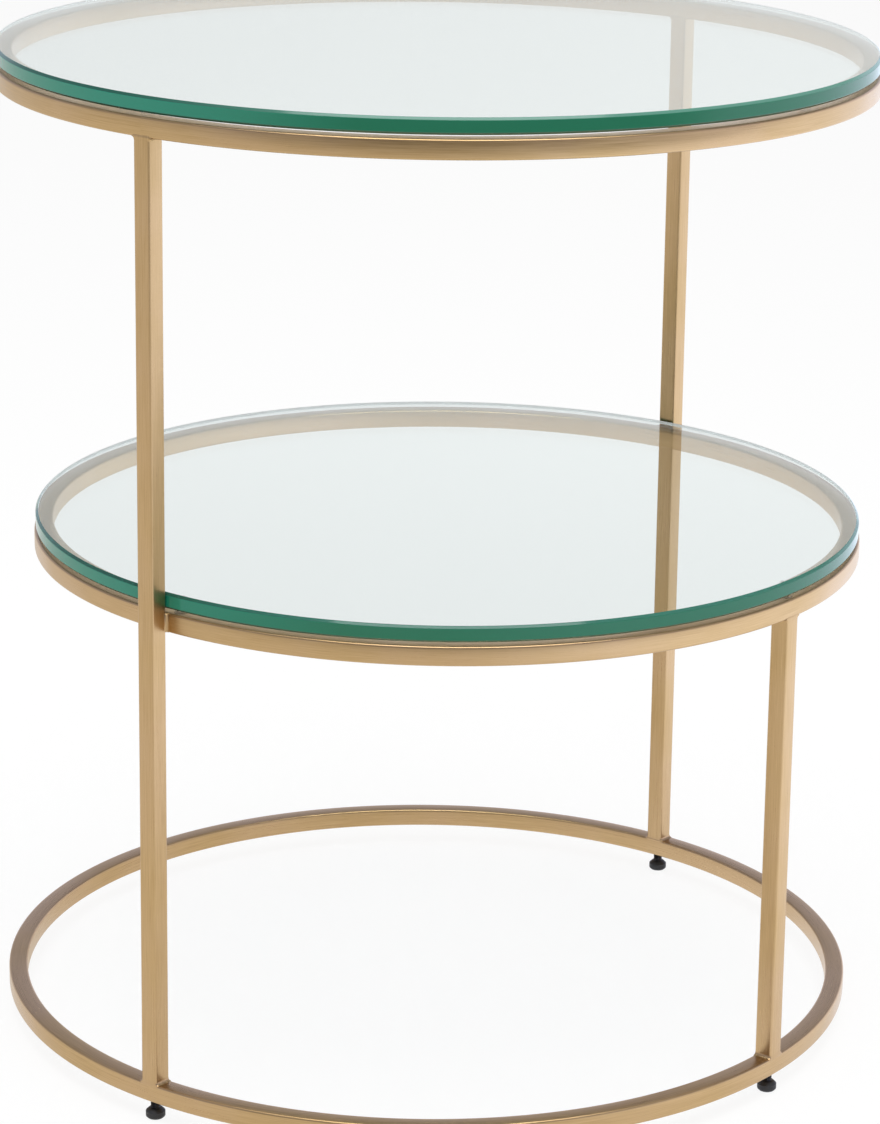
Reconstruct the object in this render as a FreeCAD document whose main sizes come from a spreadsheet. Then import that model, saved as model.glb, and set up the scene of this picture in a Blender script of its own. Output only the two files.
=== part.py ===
import FreeCAD, Part
import os
import Sketcher

# A two-tier round side table: three hoops of square tube, two tall legs, one
# short leg, two loose glass discs and four screw-in levelling feet.
# Millimetres. The origin is on the floor, on the axis of the base ring.
# The tall legs stand at +X and -X, the short leg at -Y, under the shelf.

sizes = {
    "TableDiameter": 550,  # outside of the base ring and the top ring
    "TubeWidth": 12,  # side of the square tube
    "TubeWall": 1.2,  # wall of the square tube
    "ShortLegLength": 286,  # base ring to shelf ring
    "TallLegLength": 582,  # base ring to top ring
    "WeldSize": 2,  # reach of a weld along each tube that it joins
    "WeldGap": 0.2,  # shelf ring clear of the tall legs, filled by the weld
    "GlassThickness": 10,  # both glass discs
    "GlassBevel": 1.5,  # polished bevel round each edge of the glass
    "GlassSetback": 0.8,  # glass edge inside the outside of its ring
    "BumperDiameter": 8,  # clear bumper between ring and glass
    "BumperHeight": 2,  # glass above its ring
    "RingClearance": 12,  # base ring above the floor
    "BackFootAngle": 84,  # back foot, just off the seam where the base ring closes
    "PadDiameter": 12,  # foot pad
    "PadSideHeight": 4.8,  # top of the straight side of the foot pad
    "PadShoulderHeight": 1.7,  # sloping shoulder above it
    "PadCollarDiameter": 7.6,  # top of the shoulder, round the screw
    "PadSoleThickness": 1.5,  # pad under the end of the screw
    "ScrewDiameter": 6,  # levelling screw
    "ScrewReach": 6,  # screw inside the base ring
    "ScrewClearance": 0.1,  # radial gap between screw and insert
    "InsertClearance": 0.3,  # each side of a hexagonal insert in the tube's bore
    "InsertHeight": 8,  # from the underside of the base ring
}

doc = FreeCAD.newDocument("TieredSideTable")
sheet = doc.addObject("Spreadsheet::Sheet", "Sizes")
for row, (alias, value) in enumerate(sizes.items(), 1):
    sheet.set(f"A{row}", alias)
    sheet.set(f"B{row}", str(value))
    sheet.setAlias(f"B{row}", alias)
doc.recompute()

# Lengths that several pieces share, worked out from the sizes above.
tube = "Sizes.TubeWidth"
wall = "Sizes.TubeWall"
weld = "Sizes.WeldSize"
ringRadius = "(Sizes.TableDiameter / 2)"
legRadius = f"({ringRadius} - {tube} / 2)"
legInnerFace = f"({ringRadius} - {tube})"
baseRingTop = f"(Sizes.RingClearance + {tube})"
shelfRingBottom = f"({baseRingTop} + Sizes.ShortLegLength)"
shelfRingTop = f"({shelfRingBottom} + {tube})"
topRingBottom = f"({baseRingTop} + Sizes.TallLegLength)"
topRingTop = f"({topRingBottom} + {tube})"
insertAcrossFlats = f"({tube} - 2 * {wall} - 2 * Sizes.InsertClearance)"

# The shelf ring is smaller and sits forward. Its outside is flush with the short
# leg and passes the front corner of each tall leg's inner face by the weld's gap.
shelfReach = f"({ringRadius} + Sizes.WeldGap)"
shelfOffset = (
    f"(({shelfReach} * {shelfReach} - {legInnerFace} * {legInnerFace} - {tube} * {tube} / 4)"
    f" / (2 * {shelfReach} - {tube}))"
)
shelfRadius = f"({ringRadius} - {shelfOffset})"

legAngles = {"left": 180, "front": 270, "right": 0}
tallLegs = ("left", "right")
footAngles = {**legAngles, "back": "Sizes.BackFootAngle"}
bumperCount = 4
upAxis = FreeCAD.Vector(0, 0, 1)
outAxis = FreeCAD.Vector(1, 0, 0)
nodes = []


def valueOf(expression):
    return float(sheet.evalExpression(expression))


def newBody(label):
    body = doc.addObject("PartDesign::Body", label)
    body.Label = label
    body.AllowCompound = True
    nodes.append(body)
    return body


def newSketch(body, name, role, offset=None):
    plane = [item for item in body.Origin.OriginFeatures if item.Role == role][0]
    sketch = body.newObject("Sketcher::SketchObject", name)
    sketch.AttachmentSupport = (plane, [""])
    sketch.MapMode = "FlatFace"
    if offset is not None:
        sketch.setExpression("AttachmentOffset.Base.z", offset)
    return sketch


def placeAt(piece, x="0", y="0", z="0"):
    for axis, expression in (("x", x), ("y", y), ("z", z)):
        piece.setExpression(f"Placement.Base.{axis}", expression)


def placeOnRing(piece, angle, z):
    # On the centre line of the tube of the base ring or the top ring.
    x = f"{legRadius} * cos({angle} * 1 deg)"
    y = f"{legRadius} * sin({angle} * 1 deg)"
    placeAt(piece, x, y, z)


def dimension(sketch, kind, element, end, expression):
    # Ties one coordinate of a point to the sketch's origin.
    value = valueOf(expression)
    axis = -2 if kind == "DistanceX" else -1
    if abs(value) < 1e-9:
        sketch.addConstraint(Sketcher.Constraint("PointOnObject", element, end, axis))
        return
    ends = (-1, 1, element, end) if value > 0 else (element, end, -1, 1)
    index = sketch.addConstraint(Sketcher.Constraint(kind, *ends, abs(value)))
    sign = "" if value > 0 else "-"
    sketch.setExpression(f"Constraints[{index}]", f"{sign}({expression})")


def drawOutline(sketch, corners):
    # A closed outline with straight sides. Each corner is a pair of expressions.
    first = sketch.GeometryCount
    points = [FreeCAD.Vector(valueOf(x), valueOf(y), 0) for x, y in corners]
    following = corners[1:] + corners[:1]
    upright = [here[0] == there[0] for here, there in zip(corners, following)]
    level = [here[1] == there[1] for here, there in zip(corners, following)]
    for start, end in zip(points, points[1:] + points[:1]):
        sketch.addGeometry(Part.LineSegment(start, end), False)
    for i in range(len(corners)):
        joined = first + (i + 1) % len(corners)
        sketch.addConstraint(Sketcher.Constraint("Coincident", first + i, 2, joined, 1))
        if upright[i]:
            sketch.addConstraint(Sketcher.Constraint("Vertical", first + i))
        if level[i]:
            sketch.addConstraint(Sketcher.Constraint("Horizontal", first + i))
    for i, (x, y) in enumerate(corners):
        if not upright[i - 1]:
            dimension(sketch, "DistanceX", first + i, 1, x)
        if not level[i - 1]:
            dimension(sketch, "DistanceY", first + i, 1, y)


def drawBox(sketch, left, right, bottom, top):
    drawOutline(sketch, [(left, bottom), (right, bottom), (right, top), (left, top)])


def drawHexagon(sketch, acrossFlats, angle):
    # Two of its flats face the way that the angle gives, and away from it.
    radius = f"{acrossFlats} / (2 * cos(30 deg))"
    turns = [f"({angle} + {turn}) * 1 deg" for turn in range(30, 360, 60)]
    drawOutline(sketch, [(f"{radius} * cos({a})", f"{radius} * sin({a})") for a in turns])


def drawCircle(sketch, diameter, x="0", y="0"):
    radius = valueOf(diameter) / 2
    centre = FreeCAD.Vector(valueOf(x), valueOf(y), 0)
    circle = sketch.addGeometry(Part.Circle(centre, upAxis, radius), False)
    dimension(sketch, "DistanceX", circle, 3, x)
    dimension(sketch, "DistanceY", circle, 3, y)
    index = sketch.addConstraint(Sketcher.Constraint("Diameter", circle, 2 * radius))
    sketch.setExpression(f"Constraints[{index}]", diameter)


def extrude(body, sketch, name, length):
    feature = body.newObject("PartDesign::Pad", name)
    feature.Profile = (sketch, [""])
    feature.setExpression("Length", length)
    return feature


def revolve(body, sketch, name):
    feature = body.newObject("PartDesign::Revolution", name)
    feature.Profile = (sketch, [""])
    feature.ReferenceAxis = (sketch, ["V_Axis"])
    feature.Angle = 360
    return feature


def cutUpwards(body, sketch, name, depth):
    doc.recompute()
    before = body.Shape.Volume
    feature = body.newObject("PartDesign::Pocket", name)
    feature.Profile = (sketch, [""])
    feature.Reversed = True
    feature.setExpression("Length", depth)
    doc.recompute()
    if feature.Shape.Volume >= before:
        raise RuntimeError(f"{name} cuts nothing")


def makeRing(label, outside):
    # A hoop of square tube, hollow all the way round, with its underside at z = 0.
    body = newBody(label)
    section = newSketch(body, label + "_section", "XZ_Plane")
    inside = f"({outside} - {tube})"
    drawBox(section, inside, outside, "0", tube)
    drawBox(section, f"{inside} + {wall}", f"{outside} - {wall}", wall, f"{tube} - {wall}")
    revolve(body, section, label + "_hoop")
    return body


def cutInsertHole(ring, side):
    # A hexagonal hole through the underside of the base ring, as wide as the insert.
    angle = footAngles[side]
    outline = newSketch(ring, f"{side}_insert_hole_outline", "XY_Plane")
    drawHexagon(outline, insertAcrossFlats, angle)
    outline.setExpression("AttachmentOffset.Base.x", f"{legRadius} * cos({angle} * 1 deg)")
    outline.setExpression("AttachmentOffset.Base.y", f"{legRadius} * sin({angle} * 1 deg)")
    cutUpwards(ring, outline, f"{side}_insert_hole", wall)


def makeLeg(side):
    # A straight square tube, open at both ends, square to the rings.
    body = newBody(f"{side}_leg")
    section = newSketch(body, f"{side}_leg_section", "XY_Plane")
    half = f"{tube} / 2"
    bore = f"({tube} / 2 - {wall})"
    drawBox(section, f"-{half}", half, f"-{half}", half)
    drawBox(section, f"-{bore}", bore, f"-{bore}", bore)
    length = "Sizes.TallLegLength" if side in tallLegs else "Sizes.ShortLegLength"
    extrude(body, section, f"{side}_leg_tube", length)
    placeOnRing(body, legAngles[side], baseRingTop)


def makeEndWeld(label, angle, z, hangs=False):
    # Two fillet welds, one along each side of a leg where it stands on a ring, or
    # hangs from one. They run the width of the tube and are ground flush with it.
    body = newBody(label)
    section = newSketch(body, label + "_section", "YZ_Plane", f"-{tube} / 2")
    face, toe = f"{tube} / 2", f"({tube} / 2 + {weld})"
    drawOutline(section, [(face, "0"), (toe, "0"), (face, weld)])
    drawOutline(section, [(f"-{face}", "0"), (f"-{face}", weld), (f"-{toe}", "0")])
    extrude(body, section, label + "_beads", tube)
    turned = FreeCAD.Rotation(upAxis, angle)
    upsideDown = FreeCAD.Rotation(outAxis, 180)
    body.Placement.Rotation = turned * upsideDown if hangs else turned
    placeOnRing(body, angle, z)


def makeShelfWeld(side):
    # Upright weld between the shelf ring's side and the inner face of a tall leg. It
    # fills the gap between them and ends in a bead before and behind the leg.
    label = f"{side}_shelf_weld"
    sign = "-" if side == "left" else ""
    body = newBody(label)
    half, toe = f"{tube} / 2", f"({tube} / 2 + {weld})"
    root, crest = f"{sign}({legInnerFace} - {weld})", f"{sign}({legInnerFace} + {weld})"
    face = f"{sign}{legInnerFace}"
    corners = [
        (root, f"-{toe}"),
        (face, f"-{toe}"),
        (crest, f"-{half}"),
        (crest, half),
        (face, toe),
        (root, toe),
    ]
    section = newSketch(body, label + "_section", "XY_Plane")
    drawOutline(section, corners)
    extrude(body, section, label + "_blank", tube)
    legOutline = newSketch(body, label + "_leg_outline", "XY_Plane")
    drawBox(legOutline, face, f"{sign}{ringRadius}", f"-{half}", half)
    cutUpwards(body, legOutline, label + "_leg_room", tube)
    ringOutline = newSketch(body, label + "_ring_outline", "XY_Plane")
    drawCircle(ringOutline, f"2 * {shelfRadius}", y=f"-{shelfOffset}")
    cutUpwards(body, ringOutline, label + "_ring_room", tube)
    placeAt(body, z=shelfRingBottom)


def makeGlass(label, radius):
    # A disc with a polished bevel round both edges.
    body = newBody(label)
    outline = newSketch(body, label + "_outline", "XY_Plane")
    drawCircle(outline, f"2 * ({radius} - Sizes.GlassSetback)")
    disc = extrude(body, outline, label + "_disc", "Sizes.GlassThickness")
    doc.recompute()
    edges = enumerate(disc.Shape.Edges, 1)
    rims = [f"Edge{number}" for number, edge in edges if isinstance(edge.Curve, Part.Circle)]
    bevels = body.newObject("PartDesign::Chamfer", label + "_bevels")
    bevels.Base = (disc, rims)
    bevels.setExpression("Size", "Sizes.GlassBevel")
    return body


def makeBumpers(label, radius):
    # Soft clear buttons on the middle of the tube, one over each quarter.
    body = newBody(label)
    outline = newSketch(body, label + "_outline", "XY_Plane")
    drawCircle(outline, "Sizes.BumperDiameter", x=f"{radius} - {tube} / 2")
    button = extrude(body, outline, label + "_button", "Sizes.BumperHeight")
    pattern = body.newObject("PartDesign::PolarPattern", label + "_pattern")
    pattern.Originals = [button]
    pattern.Axis = (outline, ["N_Axis"])
    pattern.Angle = 360
    pattern.Occurrences = bumperCount
    body.Tip = pattern
    return body


def makeInsert(side):
    # A hexagonal sleeve through the base ring's underside, between the bore's walls.
    body = newBody(f"{side}_foot_insert")
    outline = newSketch(body, f"{side}_insert_outline", "XY_Plane")
    drawHexagon(outline, insertAcrossFlats, footAngles[side])
    drawCircle(outline, "Sizes.ScrewDiameter + 2 * Sizes.ScrewClearance")
    extrude(body, outline, f"{side}_insert_sleeve", "Sizes.InsertHeight")
    placeOnRing(body, footAngles[side], "Sizes.RingClearance")


def makeScrew(side):
    body = newBody(f"{side}_foot_screw")
    outline = newSketch(body, f"{side}_screw_outline", "XY_Plane")
    drawCircle(outline, "Sizes.ScrewDiameter")
    length = "Sizes.RingClearance + Sizes.ScrewReach - Sizes.PadSoleThickness"
    extrude(body, outline, f"{side}_screw_shaft", length)
    placeOnRing(body, footAngles[side], "Sizes.PadSoleThickness")


def makePad(side):
    # Moulded round the lower end of the screw, with a sloping shoulder.
    body = newBody(f"{side}_foot_pad")
    profile = newSketch(body, f"{side}_pad_profile", "XZ_Plane")
    padRadius = "Sizes.PadDiameter / 2"
    screwRadius = "Sizes.ScrewDiameter / 2"
    padTop = "Sizes.PadSideHeight + Sizes.PadShoulderHeight"
    corners = [
        ("0", "0"),
        (padRadius, "0"),
        (padRadius, "Sizes.PadSideHeight"),
        ("Sizes.PadCollarDiameter / 2", padTop),
        (screwRadius, padTop),
        (screwRadius, "Sizes.PadSoleThickness"),
        ("0", "Sizes.PadSoleThickness"),
    ]
    drawOutline(profile, corners)
    revolve(body, profile, f"{side}_pad_turned")
    placeOnRing(body, footAngles[side], "0")


baseRing = makeRing("base_ring", ringRadius)
for side in footAngles:
    cutInsertHole(baseRing, side)
placeAt(baseRing, z="Sizes.RingClearance")

shelfRing = makeRing("shelf_ring", shelfRadius)
placeAt(shelfRing, y=f"-{shelfOffset}", z=shelfRingBottom)

topRing = makeRing("top_ring", ringRadius)
placeAt(topRing, z=topRingBottom)

for side, angle in legAngles.items():
    makeLeg(side)
    makeEndWeld(f"{side}_base_weld", angle, baseRingTop)
    legTop = topRingBottom if side in tallLegs else shelfRingBottom
    makeEndWeld(f"{side}_top_weld", angle, legTop, hangs=True)
for side in tallLegs:
    makeShelfWeld(side)

topGlass = makeGlass("top_glass", ringRadius)
placeAt(topGlass, z=f"{topRingTop} + Sizes.BumperHeight")

shelfGlass = makeGlass("shelf_glass", shelfRadius)
placeAt(shelfGlass, y=f"-{shelfOffset}", z=f"{shelfRingTop} + Sizes.BumperHeight")

topBumpers = makeBumpers("top_bumpers", ringRadius)
placeAt(topBumpers, z=topRingTop)

shelfBumpers = makeBumpers("shelf_bumpers", shelfRadius)
placeAt(shelfBumpers, y=f"-{shelfOffset}", z=shelfRingTop)

for side in footAngles:
    makeInsert(side)
    makeScrew(side)
    makePad(side)

doc.recompute()
for item in doc.Objects:
    if "Invalid" in item.State or "Error" in item.State:
        raise RuntimeError(f"{item.Label} failed: {item.State}")
for node in nodes:
    if node.Shape.isNull() or not node.Shape.isValid():
        raise RuntimeError(f"{node.Label} has no valid shape")

os.makedirs("parts", exist_ok=True)
for node in nodes:
    node.Shape.exportStep(f"parts/{node.Label}.step")
    print(node.Label, len(node.Shape.Solids), "solids", round(node.Shape.Volume, 1), "mm3")
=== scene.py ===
import math

import bmesh
import bpy
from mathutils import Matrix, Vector


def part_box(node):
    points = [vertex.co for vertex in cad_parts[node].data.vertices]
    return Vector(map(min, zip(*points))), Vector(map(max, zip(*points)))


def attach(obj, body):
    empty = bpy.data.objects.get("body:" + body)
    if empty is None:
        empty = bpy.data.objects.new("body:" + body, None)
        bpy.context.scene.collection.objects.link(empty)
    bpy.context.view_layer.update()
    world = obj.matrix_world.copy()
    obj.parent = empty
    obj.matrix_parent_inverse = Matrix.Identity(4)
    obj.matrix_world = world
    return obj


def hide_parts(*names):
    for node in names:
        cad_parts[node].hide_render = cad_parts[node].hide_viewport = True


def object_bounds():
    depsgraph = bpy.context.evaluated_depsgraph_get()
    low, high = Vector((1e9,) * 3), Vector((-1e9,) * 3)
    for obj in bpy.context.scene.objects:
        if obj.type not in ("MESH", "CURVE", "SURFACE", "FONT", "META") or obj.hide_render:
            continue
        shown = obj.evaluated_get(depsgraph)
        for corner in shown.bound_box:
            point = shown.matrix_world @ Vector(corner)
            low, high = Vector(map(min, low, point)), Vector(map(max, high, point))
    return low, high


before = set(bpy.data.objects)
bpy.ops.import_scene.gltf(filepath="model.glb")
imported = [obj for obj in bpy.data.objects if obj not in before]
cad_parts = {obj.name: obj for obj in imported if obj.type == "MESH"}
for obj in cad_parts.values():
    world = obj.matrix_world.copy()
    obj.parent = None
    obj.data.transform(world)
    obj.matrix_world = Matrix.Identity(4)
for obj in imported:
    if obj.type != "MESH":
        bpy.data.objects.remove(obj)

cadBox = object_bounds()
print("frame loaded:", len(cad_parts), "nodes")


def corners(node):
    low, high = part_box(node)
    return Vector(low), Vector(high)


def compass(angle):
    # The level direction at this angle from +X.
    return Vector((math.cos(angle), math.sin(angle), 0))


def rgba(colour):
    return (*colour, 1)


def addObject(name, data):
    # An object that holds this mesh, lamp or camera.
    thing = bpy.data.objects.new(name, data)
    bpy.context.scene.collection.objects.link(thing)
    return thing


white = rgba((1, 1, 1))
legLow, legHigh = corners("front_leg")
tubeWidth = legHigh.y - legLow.y
ringNames = ("base_ring", "shelf_ring", "top_ring")
ringRadii = {name: corners(name)[1].x for name in ringNames}
ringCentres = {name: Vector((0, 0, corners(name)[0].z)) for name in ringNames}
ringCentres["shelf_ring"].y = legLow.y + ringRadii["shelf_ring"]  # flush with the short leg


class Socket:
    # An output of a node, which can be used in sums.
    def __init__(self, graph, output):
        self.graph = graph
        self.output = output

    def pick(self, name):
        return Socket(self.graph, self.output.node.outputs[name])

    def math(self, operation, *values):
        settings = {"operation": operation}
        return self.graph.add("ShaderNodeMath", settings, dict(enumerate(values)))

    def __add__(self, other):
        return self.math("ADD", self, other)

    def __sub__(self, other):
        return self.math("SUBTRACT", self, other)

    def __rsub__(self, other):
        return self.math("SUBTRACT", other, self)

    def __mul__(self, other):
        return self.math("MULTIPLY", self, other)

    def __truediv__(self, other):
        return self.math("DIVIDE", self, other)

    def __pow__(self, other):
        return self.math("POWER", self, other)

    __radd__ = __add__
    __rmul__ = __mul__


class Graph:
    # The nodes of one material or of the world.
    def __init__(self, owner):
        self.owner = owner
        self.owner.use_nodes = True
        self.tree = owner.node_tree
        self.tree.nodes.clear()

    def add(self, kind, settings=None, sockets=None):
        node = self.tree.nodes.new(kind)
        for name, value in (settings or {}).items():
            if name == "stops":
                ramp = node.color_ramp.elements
                while len(ramp) < len(value):
                    ramp.new(1)
                for stop, (place, colour) in zip(ramp, value):
                    stop.position = place
                    stop.color = rgba(colour)
            else:
                setattr(node, name, value)
        for name, value in (sockets or {}).items():
            self.fill(node.inputs[name], value)
        return Socket(self, node.outputs[0]) if node.outputs else None

    def fill(self, socket, value):
        if isinstance(value, Socket):
            self.tree.links.new(value.output, socket)
        else:
            socket.default_value = value

    def place(self):
        return self.add("ShaderNodeTexCoord").pick("Object")

    def noise(self, vector, scale, detail=2.0, roughness=0.5):
        values = {"Vector": vector, "Scale": scale, "Detail": detail, "Roughness": roughness}
        return self.add("ShaderNodeTexNoise", {}, values)

    def spread(self, value, low, high):
        # Stretches low..high to 0..1.
        values = {"Value": value, "From Min": low, "From Max": high}
        return self.add("ShaderNodeMapRange", {}, values)

    def mix(self, factor, first, second):
        node = self.add("ShaderNodeMix", {"data_type": "RGBA"}, {"Factor": factor}).output.node
        colourInputs = [socket for socket in node.inputs if socket.type == "RGBA"]
        self.fill(colourInputs[0], first)
        self.fill(colourInputs[1], second)
        colourOutputs = [socket for socket in node.outputs if socket.type == "RGBA"]
        return Socket(self, colourOutputs[0])

    def facing(self, vector, degrees):
        # How far a direction or a place lies to one side, in degrees from +X.
        side = tuple(compass(math.radians(degrees)))
        settings = {"operation": "DOT_PRODUCT"}
        return self.add("ShaderNodeVectorMath", settings, {0: vector, 1: side}).pick("Value")

    def bump(self, height, strength, distance):
        values = {"Height": height, "Strength": strength, "Distance": distance}
        return self.add("ShaderNodeBump", {}, values)

    def principled(self, **values):
        sockets = {name.replace("_", " "): value for name, value in values.items()}
        return self.add("ShaderNodeBsdfPrincipled", {}, sockets)

    def finish(self, surface, volume=None):
        kind = "World" if isinstance(self.owner, bpy.types.World) else "Material"
        links = {"Surface": surface}
        if volume:
            links["Volume"] = volume
        self.add("ShaderNodeOutput" + kind, {}, links)
        return self.owner


def newGraph(name):
    return Graph(bpy.data.materials.new(name))


brass = {
    "light": (0.60, 0.412, 0.205),
    "deep": (0.43, 0.280, 0.120),
    "rosy": (0.54, 0.368, 0.215),
    "rosyShare": 0.55,
    "roughness": 0.30,
    "roughnessSpread": 0.12,
    "cloudPolish": 0.5,
    "lineLength": 0.030,  # metres, as are the next two
    "lineWidth": 0.00035,
    "lineDepth": 0.000006,
    "lineStrength": 0.5,
    "lineNoise": (1.0, 3.0, 0.6),  # scale, detail, roughness
    "lineRange": (0.30, 0.70),
    "cloudNoise": (11.0, 3.0),  # scale, detail
    "cloudRange": (0.38, 0.62),
}


def brushedBrass(name, centre=None, look=brass):
    # Brushed along the tube: round the axis at centre on the hoops, upright on the legs.
    graph = newGraph(name)
    place = graph.place()
    start = tuple(centre or (0, 0, 0))
    shifted = graph.add("ShaderNodeVectorMath", {"operation": "SUBTRACT"}, {0: place, 1: start})
    parts = graph.add("ShaderNodeSeparateXYZ", {}, {0: shifted})
    x, y, z = parts.pick("X"), parts.pick("Y"), parts.pick("Z")
    if centre:
        around = x.math("ARCTAN2", y, x) * ringRadii["top_ring"]
        along, across, height = around, (x * x + y * y) ** 0.5, z
    else:
        along, across, height = z, x, y
    values = {
        "X": along / look["lineLength"],
        "Y": across / look["lineWidth"],
        "Z": height / look["lineWidth"],
    }
    grain = graph.noise(graph.add("ShaderNodeCombineXYZ", {}, values), *look["lineNoise"])
    lines = graph.spread(grain, *look["lineRange"])
    clouds = graph.spread(graph.noise(place, *look["cloudNoise"]), *look["cloudRange"])
    gold = graph.mix(lines, rgba(look["deep"]), rgba(look["light"]))
    rough = (lines - clouds * look["cloudPolish"]) * look["roughnessSpread"]
    return graph.finish(graph.principled(
        Base_Color=graph.mix(clouds * look["rosyShare"], gold, rgba(look["rosy"])),
        Metallic=1.0,
        Roughness=look["roughness"] + rough,
        Normal=graph.bump(grain, look["lineStrength"], look["lineDepth"]),
    ))


glassLook = {
    "ior": 1.52,
    "absorbed": (0.30, 0.58, 0.55),
    "density": 15.0,
    "edge": (0.014, 0.205, 0.108),
    "litEdge": (0.025, 0.33, 0.22),
    "litBevel": (0.010, 0.09, 0.06),
    "litSide": 165,  # degrees from +X
    "litFrom": (0.20, 0.27),  # metres out
    # Top bevel: a painted reflection of the overhead lamp on the top disc, painted shade from the
    # top disc on the shelf disc.
    "paintedTopBevel": {"top_glass": (0.11, 0.29, 0.22), "shelf_glass": (0.05, 0.21, 0.15)},
    # Bottom bevel: a painted reflection of the brass ring below.
    "paintedLowBevel": (0.11, 0.19, 0.12),
    "bevelFade": 0.02,  # of the disc's thickness
    "edgeSpecular": 0.35,
    "edgeRoughness": 0.10,
    "streakLeast": 0.5,
    "streakSize": 60.0,
    "inner": (0.95, 0.97, 0.96),
    "innerRoughness": 0.3,
    # A painted glow: the pale inside of the edge glows though it is no lamp.
    "innerPaintedGlow": 0.28,
}


def clearGlass():
    graph = newGraph("float_glass")
    shader = graph.principled(
        Base_Color=white,
        Roughness=0.0,
        IOR=glassLook["ior"],
        Transmission_Weight=1.0,
    )
    values = {"Color": rgba(glassLook["absorbed"]), "Density": glassLook["density"]}
    return graph.finish(shader, graph.add("ShaderNodeVolumeAbsorption", {}, values))


def edgeGlass(node, low, high, bevel):
    # The polished edge. Outside it shows the deep green of light that has crossed the disc. The
    # bevels carry painted light: on the top disc the top bevel is a painted reflection of the
    # overhead lamp, on the shelf disc it is painted shade from the top disc, and the bottom bevel
    # is a painted reflection of the brass ring. On the lit side the edge is painted livelier and
    # the bevels painted dark. Within the glass it is pale, with a painted glow.
    graph = newGraph("float_glass_edge_" + node)
    place = graph.place()
    height = graph.add("ShaderNodeSeparateXYZ", {}, {0: place}).pick("Z")
    climb = graph.spread(height, low, high)
    share, fade = bevel / (high - low), glassLook["bevelFade"]
    ramps = []
    for paintedLowBevel, edge, paintedTopBevel in (
        (glassLook["paintedLowBevel"], glassLook["edge"], glassLook["paintedTopBevel"][node]),
        (glassLook["litBevel"], glassLook["litEdge"], glassLook["litBevel"]),
    ):
        stops = [
            (0, paintedLowBevel),
            (share - fade, paintedLowBevel),
            (share + fade, edge),
            (1 - share - fade, edge),
            (1 - share + fade, paintedTopBevel),
            (1, paintedTopBevel),
        ]
        ramps.append(graph.add("ShaderNodeValToRGB", {"stops": stops}, {0: climb}))
    lit = graph.spread(graph.facing(place, glassLook["litSide"]), *glassLook["litFrom"])
    streaks = graph.noise(place, glassLook["streakSize"])
    outside = graph.principled(
        Base_Color=graph.mix(lit, *ramps),
        Roughness=glassLook["edgeRoughness"] * (glassLook["streakLeast"] + streaks),
        IOR=glassLook["ior"],
        Specular_IOR_Level=glassLook["edgeSpecular"],
    )
    # Inside the edge: pale, with a painted glow.
    withinPaintedGlow = graph.principled(
        Base_Color=rgba(glassLook["inner"]),
        Roughness=glassLook["innerRoughness"],
        Emission_Color=rgba(glassLook["inner"]),
        Emission_Strength=glassLook["innerPaintedGlow"],
    )
    inner = graph.add("ShaderNodeNewGeometry").pick("Backfacing")
    return graph.finish(graph.add("ShaderNodeMixShader", {}, {0: inner, 1: outside, 2: withinPaintedGlow}))


bumperLook = {
    "count": 4,
    "rim": 0.0007,
    "rimSteps": 4,
    "steps": 32,
    "colour": (0.85, 0.86, 0.80),
    "roughness": 0.16,
    "roughnessSpread": 0.1,
    "hazeSize": 700.0,
    "cover": 0.10,
}


def clearPlastic():
    graph = newGraph("clear_bumper")
    haze = graph.noise(graph.place(), bumperLook["hazeSize"])
    return graph.finish(graph.principled(
        Base_Color=rgba(bumperLook["colour"]),
        Roughness=bumperLook["roughness"] + haze * bumperLook["roughnessSpread"],
        Alpha=bumperLook["cover"],
    ))


meshRules = {"sameWithin": 1e-7, "crispFrom": 40}  # metres, degrees


def makePiece(name, shape, material, body, nodes, crispFrom=meshRules["crispFrom"]):
    # A mesh from (points, faces) that rides on a body and stands for these nodes.
    points, faces = shape
    mesh = bpy.data.meshes.new(name)
    mesh.from_pydata([tuple(point) for point in points], [], faces)
    work = bmesh.new()
    work.from_mesh(mesh)
    bmesh.ops.remove_doubles(work, verts=work.verts, dist=meshRules["sameWithin"])
    bmesh.ops.recalc_face_normals(work, faces=work.faces)
    for face in work.faces:
        face.smooth = True
    work.to_mesh(mesh)
    work.free()
    mesh.set_sharp_from_angle(angle=math.radians(crispFrom))
    mesh.materials.append(material)
    piece = addObject(name, mesh)
    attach(piece, body)
    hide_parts(*nodes)
    return piece


def loft(sections):
    # A closed skin over sections that have the same number of points each.
    count = len(sections[0])
    points = [point for section in sections for point in section]
    faces = []
    for i in range(len(sections) - 1):
        here, there = i * count, (i + 1) * count
        for j in range(count):
            k = (j + 1) % count
            faces.append((here + j, here + k, there + k, there + j))
    faces.append(tuple(range(count))[::-1])
    faces.append(tuple(range(len(points) - count, len(points))))
    return points, faces


def spin(profile, centre, steps, closed=False):
    # Turns (radius, height) pairs about an upright axis. A pair on the axis makes a fan.
    points = []
    for step in range(steps):
        out = compass(2 * math.pi * step / steps)
        points += [centre + out * radius + Vector((0, 0, height)) for radius, height in profile]
    count = len(profile)
    faces = []
    for i in range(steps):
        here, there = i * count, (i + 1) % steps * count
        for j in range(count if closed else count - 1):
            k = (j + 1) % count
            face = [here + j, there + j, there + k, here + k]
            if profile[j][0] == 0:
                face.remove(there + j)
            if profile[k][0] == 0:
                face.remove(there + k)
            if len(face) > 2:
                faces.append(tuple(face))
    return points, faces


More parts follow.
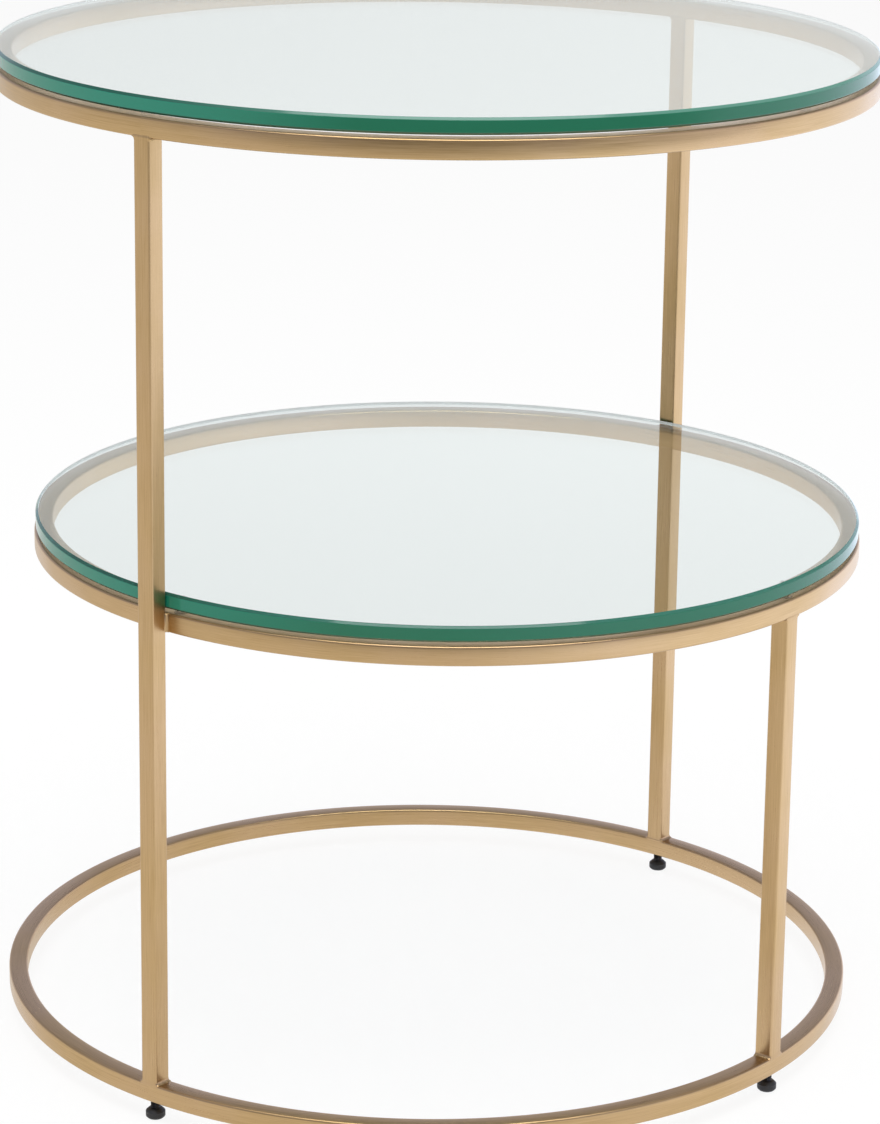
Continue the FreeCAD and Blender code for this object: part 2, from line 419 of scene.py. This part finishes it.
def roundedBox(halfOut, halfAlong, radius, steps):
    # An outline of (out, along) pairs, centred on 0, 0.
    outline = []
    for quarter, (x, y) in enumerate(((1, 1), (-1, 1), (-1, -1), (1, -1))):
        for step in range(steps + 1):
            turn = math.pi / 2 * (quarter + step / steps)
            out = x * (halfOut - radius) + radius * math.cos(turn)
            outline.append((out, y * (halfAlong - radius) + radius * math.sin(turn)))
    return outline


tubeLook = {"corner": 0.0014, "cornerSteps": 4, "ringSteps": 288}
tubeOutline = roundedBox(tubeWidth / 2, tubeWidth / 2, tubeLook["corner"], tubeLook["cornerSteps"])


def makeHoop(name):
    reach = ringRadii[name] - tubeWidth / 2
    profile = [(reach + x, tubeWidth / 2 + y) for x, y in tubeOutline]
    shape = spin(profile, ringCentres[name], tubeLook["ringSteps"], closed=True)
    metal = brushedBrass("brushed_brass_" + name, ringCentres[name])
    makePiece(name + "_tube", shape, metal, "frame", [name])


def makeLeg(node, metal):
    low, high = corners(node)
    centre = (low + high) / 2
    ends = [[(centre.x + x, centre.y + y, z) for x, y in tubeOutline] for z in (low.z, high.z)]
    makePiece(node + "_tube", loft(ends), metal, "frame", [node])


for name in ringNames:
    makeHoop(name)
legBrass = brushedBrass("brushed_brass_upright")
for side in ("left", "front", "right"):
    makeLeg(side + "_leg", legBrass)
print("tubes made")

weldLow, weldHigh = corners("front_base_weld")
weldReach = weldHigh.z - weldLow.z
weldShape = {
    "hollowSteps": 6,
    "notchSteps": 3,
    "cornerSteps": 4,
    "proud": 0.00003,
    "sink": 0.001,
    "endInset": 0.0008,
    "crispFrom": 50,
}
weldLook = {**brass, "roughness": 0.36, "lineDepth": 0.00001, "rosyShare": 0.7}
weldPlating = brushedBrass("plated_weld", look=weldLook)


def makeBead(node, sections):
    shape, crispFrom = loft(sections), weldShape["crispFrom"]
    makePiece(node + "_bead", shape, weldPlating, "frame", [node], crispFrom)


def hollow(reach):
    # Down a hollow fillet, as (along, up) from (0, reach) on one wall to (reach, 0) on the other.
    steps = weldShape["hollowSteps"]
    turns = [math.pi / 2 * step / steps for step in range(steps + 1)]
    return [(reach * (1 - math.cos(turn)), reach * (1 - math.sin(turn))) for turn in turns]


def makeSaddle(node, angle, ringName, hangs):
    # Hollow beads on the leg's two sides. They are ground flush with its outer and inner faces,
    # and fill the notch over the ring's rounded corners.
    reach = ringRadii[ringName] - tubeWidth / 2
    out, along = compass(angle), compass(angle + math.pi / 2)
    up = Vector((0, 0, -1 if hangs else 1))
    foot = ringCentres[ringName] + out * reach
    foot.z += 0 if hangs else tubeWidth
    half, corner, proud = tubeWidth / 2, tubeLook["corner"], weldShape["proud"]
    levels = hollow(weldReach)
    for step in range(1, weldShape["notchSteps"] + 1):
        share = step / weldShape["notchSteps"]
        levels.append((weldReach * (1 - share**2), -corner * share))
    sections = []
    for spare, rise in levels:
        outline = roundedBox(half + proud, half + spare + proud, corner, weldShape["cornerSteps"])
        section = []
        for away, side in outline:
            # The toes follow the ring's curve.
            toe = min(1, max(0, (abs(side) - half) / weldReach))
            drop = (reach - math.sqrt(reach**2 - side**2)) * toe
            section.append(foot + out * (away - drop) + along * side + up * rise)
        sections.append(section)
    makeBead(node, sections)


def makeUprightBead(side):
    # Two hollow beads in the corners between the shelf ring's side and a tall leg.
    node = side + "_shelf_weld"
    low, high = corners(node)
    tallLow, tallHigh = corners(side + "_leg")
    outward = -1 if side == "left" else 1
    face = tallHigh.x if side == "left" else tallLow.x
    half, sunk, inset = tubeWidth / 2, face - outward * weldShape["sink"], weldShape["endInset"]
    curve = hollow(weldReach)
    section = [(sunk, -half - weldReach)]
    section += [(face + outward * up, -half - along) for along, up in curve[::-1]]
    section += [(face + outward * up, half + along) for along, up in curve]
    section += [(sunk, half + weldReach)]
    sections = []
    for z, draw in ((low.z, inset), (low.z + inset, 0), (high.z - inset, 0), (high.z, inset)):
        narrow = 1 - draw / (half + weldReach)
        sections.append([(x - outward * draw, y * narrow, z) for x, y in section])
    makeBead(node, sections)


for side, turn in (("left", math.pi), ("front", 1.5 * math.pi), ("right", 0)):
    over = "shelf_ring" if side == "front" else "top_ring"
    makeSaddle(side + "_base_weld", turn, "base_ring", hangs=False)
    makeSaddle(side + "_top_weld", turn, over, hangs=True)
makeUprightBead("left")
makeUprightBead("right")
print("welds made")

discLook = {
    "bevel": 0.0015,
    "edgeRound": 0.00018,
    "steps": 256,
    "crispFrom": 12,
    "flat": 0.99,  # a face is clear where its normal's z is more than this
}
faceGlass = clearGlass()


def makeDisc(node, centre):
    # The clear faces hold the first material, the edge and the bevels the second.
    low, high = corners(node)
    radius, thick, bevel = high.x, high.z - low.z, discLook["bevel"]
    small = discLook["edgeRound"]
    lowHalf = [
        (0, 0),
        (radius - bevel - small, 0),
        (radius - bevel + small, small),
        (radius - small, bevel - small),
        (radius, bevel + small),
    ]
    profile = lowHalf + [(r, thick - z) for r, z in lowHalf[::-1]]
    shape = spin(profile, Vector((centre.x, centre.y, low.z)), discLook["steps"])
    disc = makePiece(
        node + "_disc", shape, faceGlass, node, [node], discLook["crispFrom"]
    )
    disc.data.materials.append(edgeGlass(node, low.z, high.z, bevel))
    edgeSlot = len(disc.data.materials) - 1
    for face in disc.data.polygons:
        if abs(face.normal.z) < discLook["flat"]:
            face.material_index = edgeSlot


def makeBumpers(node, ringName, plastic):
    low, high = corners(node)
    thick, reach = high.z - low.z, ringRadii[ringName] - tubeWidth / 2
    radius, rim = high.x - reach, bumperLook["rim"]
    profile = [(0, 0), (radius, 0)]
    for step in range(bumperLook["rimSteps"] + 1):
        angle = math.pi / 2 * step / bumperLook["rimSteps"]
        profile.append((radius - rim + rim * math.cos(angle), thick - rim + rim * math.sin(angle)))
    profile.append((0, thick))
    for quarter in range(bumperLook["count"]):
        foot = ringCentres[ringName] + compass(2 * math.pi * quarter / bumperLook["count"]) * reach
        foot.z = low.z
        name = f"{node[:-1]}_{quarter + 1}"
        shape = spin(profile, foot, bumperLook["steps"])
        makePiece(name, shape, plastic, "frame", [node])


makeDisc("top_glass", ringCentres["top_ring"])
makeDisc("shelf_glass", ringCentres["shelf_ring"])
bumperPlastic = clearPlastic()
makeBumpers("top_bumpers", "top_ring", bumperPlastic)
makeBumpers("shelf_bumpers", "shelf_ring", bumperPlastic)
print("glass made")

padLook = {
    "colour": (0.018, 0.018, 0.019),
    "worn": (0.035, 0.034, 0.033),
    "roughness": 0.42,
    "roughnessSpread": 0.2,
    "grainNoise": (2600.0, 3.0),  # scale, detail
    "grainStrength": 0.4,
    "grainDepth": 0.00005,
    "cloudSize": 160.0,
    "soleChamfer": 0.0012,
    "shoulder": 0.0017,
    "collar": 0.0038,
    "edge": 0.0003,
    "partingLine": 0.00012,
    "steps": 64,
    "crispFrom": 35,
}


def mouldedBlack():
    graph = newGraph("moulded_black")
    place = graph.place()
    grain = graph.noise(place, *padLook["grainNoise"])
    clouds = graph.noise(place, padLook["cloudSize"])
    return graph.finish(graph.principled(
        Base_Color=graph.mix(clouds, rgba(padLook["colour"]), rgba(padLook["worn"])),
        Roughness=padLook["roughness"] + clouds * padLook["roughnessSpread"],
        Normal=graph.bump(grain, padLook["grainStrength"], padLook["grainDepth"]),
    ))


metalLook = {
    "blackened_steel": {"colour": (0.09, 0.09, 0.095), "roughness": 0.35},
    "zinc_plate": {"colour": (0.55, 0.56, 0.58), "roughness": 0.3},
    "mottleNoise": (500.0, 3.0),  # scale, detail
    "mottleStrength": 0.3,
    "mottleDepth": 0.00004,
    "darker": 0.75,
    "roughnessSpread": 0.15,
}


def plainMetal(name):
    # Slightly mottled.
    graph = newGraph(name)
    look = metalLook[name]
    mottle = graph.noise(graph.place(), *metalLook["mottleNoise"])
    darker = tuple(metalLook["darker"] * part for part in look["colour"])
    return graph.finish(graph.principled(
        Base_Color=graph.mix(mottle, rgba(darker), rgba(look["colour"])),
        Metallic=1.0,
        Roughness=look["roughness"] + mottle * metalLook["roughnessSpread"],
        Normal=graph.bump(mottle, metalLook["mottleStrength"], metalLook["mottleDepth"]),
    ))


def foot(node):
    # Where the foot stands, its radius and its height.
    low, high = corners(node)
    centre = Vector(((low.x + high.x) / 2, (low.y + high.y) / 2, low.z))
    return centre, (high.x - low.x) / 2, high.z - low.z


def makePad(side, plastic):
    node = side + "_foot_pad"
    centre, radius, tall = foot(node)
    sole, edge, line = padLook["soleChamfer"], padLook["edge"], padLook["partingLine"]
    collar, sideTop = padLook["collar"], tall - padLook["shoulder"]
    seam, slip = (sole + sideTop) / 2, edge / 3
    profile = [
        (0, 0),
        (radius - sole - edge, 0),
        (radius - sole, slip),
        (radius - slip, sole),
        (radius, sole + edge),
        (radius, seam - line),
        (radius - line, seam),
        (radius, seam + line),
        (radius, sideTop - edge),
        (radius - edge, sideTop + slip),
        (collar + edge, tall - slip),
        (collar - edge, tall),
        (0, tall),
    ]
    shape, crispFrom = spin(profile, centre, padLook["steps"]), padLook["crispFrom"]
    makePiece(node + "_moulding", shape, plastic, side + "_foot", [node], crispFrom)


threadLook = {
    "pitch": 0.001,
    "depth": 0.0006,
    "rowsPerTurn": 4,
    "steps": 24,
    "flank": 1.6,  # how steep it is
    "root": 0.3,  # how wide it is
}


def makeScrew(side, steel):
    # A helix of crests and roots up the shaft.
    node = side + "_foot_screw"
    centre, radius, tall = foot(node)
    steps, depth = threadLook["steps"], threadLook["depth"]
    rise = threadLook["pitch"] / threadLook["rowsPerTurn"]
    sections = []
    for row in range(int(tall / rise) + 1):
        z = min(row * rise, tall)
        section = []
        for step in range(steps):
            phase = (z / threadLook["pitch"] + step / steps) % 1
            wave = threadLook["flank"] * abs(2 * phase - 1) - threadLook["root"]
            reach = radius - depth * (1 - min(1, max(0, wave)))
            out = compass(2 * math.pi * step / steps)
            section.append(centre + out * reach + Vector((0, 0, z)))
        sections.append(section)
    makePiece(node + "_thread", loft(sections), steel, side + "_foot", [node])


padPlastic = mouldedBlack()
screwSteel = plainMetal("blackened_steel")
zinc = plainMetal("zinc_plate")
for side in ("left", "front", "right", "back"):
    makePad(side, padPlastic)
    makeScrew(side, screwSteel)
    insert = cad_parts[side + "_foot_insert"]
    insert.data.materials.clear()
    insert.data.materials.append(zinc)
print("feet made")

floorLook = {
    "radius": 40.0,
    "steps": 96,
    "colour": (0.8, 0.8, 0.8),
    "glow": 1.05,
    "share": 0.85,
    "lightSide": -50,  # degrees from +X
    "lightFrom": (0.0, 0.8),  # metres out
    "light": (1.55, 1.68, 2.00),
    "darkSide": -127,
    "darkFrom": (1.9, 2.9),
    "dark": (0.42, 0.42, 0.42),
}


def makeFloor():
    # White to the eye. Metal mirrors it brighter on one side, and far out on another it is dark,
    # where the studio ends. It keeps the shadow and lights the table as a plain floor does.
    graph = newGraph("studio_floor")
    path = graph.add("ShaderNodeLightPath")
    mirrored = path.pick("Is Glossy Ray") - path.pick("Is Transmission Ray")
    colour = white
    for name in ("light", "dark"):
        out = graph.facing(graph.place(), floorLook[name + "Side"])
        share = graph.spread(out, *floorLook[name + "From"]) * mirrored
        colour = graph.mix(share, colour, rgba(floorLook[name]))
    seen = path.pick("Is Camera Ray")
    for ray in ("Is Glossy Ray", "Is Transmission Ray"):
        seen = seen.math("MAXIMUM", seen, path.pick(ray))
    matt = graph.add("ShaderNodeBsdfDiffuse", {}, {"Color": rgba(floorLook["colour"])})
    values = {"Color": colour, "Strength": floorLook["glow"]}
    bright = graph.add("ShaderNodeEmission", {}, values)
    values = {0: seen * floorLook["share"], 1: matt, 2: bright}
    material = graph.finish(graph.add("ShaderNodeMixShader", {}, values))
    turns = [2 * math.pi * step / floorLook["steps"] for step in range(floorLook["steps"])]
    rim = [compass(turn) * floorLook["radius"] for turn in turns]
    mesh = bpy.data.meshes.new("floor")
    mesh.from_pydata(rim, [], [tuple(range(len(rim)))])
    mesh.materials.append(material)
    floor = addObject("floor", mesh)


skyLook = {
    "cool": (0.96, 1.00, 1.28),  # in satin metal
    "brightSide": -30,  # degrees from +X, where the low light comes from
    "low": 0.72,
    "lowSwing": 0.45,
    "lowLeast": 0.60,
    "dimSide": -142,
    "dimBy": 0.5,
    "dimPower": 4,
    "lowUpTo": (0.26, 0.38),  # sine of the height at which it fades
    "high": 0.40,
}


def makeSky():
    # Soft light all round, strongest low down on one side, and dimmer overhead. White to the eye,
    # and a little cool in satin metal.
    graph = Graph(bpy.data.worlds.new("studio_sky"))
    ray = graph.add("ShaderNodeTexCoord").pick("Generated")
    bright, dim = [graph.facing(ray, skyLook[side]) for side in ("brightSide", "dimSide")]
    low = bright * skyLook["lowSwing"] + skyLook["low"]
    low = low.math("MAXIMUM", low, skyLook["lowLeast"])
    low = low - dim.math("MAXIMUM", dim, 0) ** skyLook["dimPower"] * skyLook["dimBy"]
    height = graph.add("ShaderNodeSeparateXYZ", {}, {0: ray}).pick("Z")
    climb = graph.spread(height, *skyLook["lowUpTo"])
    strength = low * (1 - climb) + climb * skyLook["high"]
    path = graph.add("ShaderNodeLightPath")
    seen = path.pick("Is Camera Ray")
    strength = strength * (1 - seen) + seen
    blurred = path.pick("Is Glossy Ray") * (1 - path.pick("Is Singular Ray"))
    colour = graph.mix(blurred, white, rgba(skyLook["cool"]))
    values = {"Color": colour, "Strength": strength}
    bpy.context.scene.world = graph.finish(graph.add("ShaderNodeBackground", {}, values))


softboxLook = {"place": (-0.4, -0.4, 3.2), "side": 2.4, "power": 75.0}


def makeSoftbox():
    # Overhead, turned to the middle of the table.
    lamp = bpy.data.lights.new("overhead", "AREA")
    lamp.shape = "SQUARE"
    lamp.size = softboxLook["side"]
    lamp.energy = softboxLook["power"]
    box = addObject("overhead", lamp)
    box.location = softboxLook["place"]
    target = (Vector(cadBox[0]) + Vector(cadBox[1])) / 2
    box.rotation_euler = (target - box.location).to_track_quat("-Z", "Y").to_euler()


makeFloor()
makeSky()
makeSoftbox()

cameraLook = {
    "place": (-1.86879, -1.44606, 1.00094),
    "turn": (74.39, -1.0485, -53.321),  # degrees
    "lens": 122.56,
    "sensor": 36,
    "shift": (-0.0712, -0.0641),
    "sees": 200,
}
camera = addObject("camera", bpy.data.cameras.new("camera"))
camera.location = cameraLook["place"]
camera.rotation_euler = [math.radians(angle) for angle in cameraLook["turn"]]
camera.data.sensor_width = cameraLook["sensor"]
camera.data.lens = cameraLook["lens"]
camera.data.shift_x, camera.data.shift_y = cameraLook["shift"]
camera.data.clip_end = cameraLook["sees"]
bpy.context.scene.camera = camera
bpy.context.scene.view_settings.view_transform = "Standard"
print("studio made")
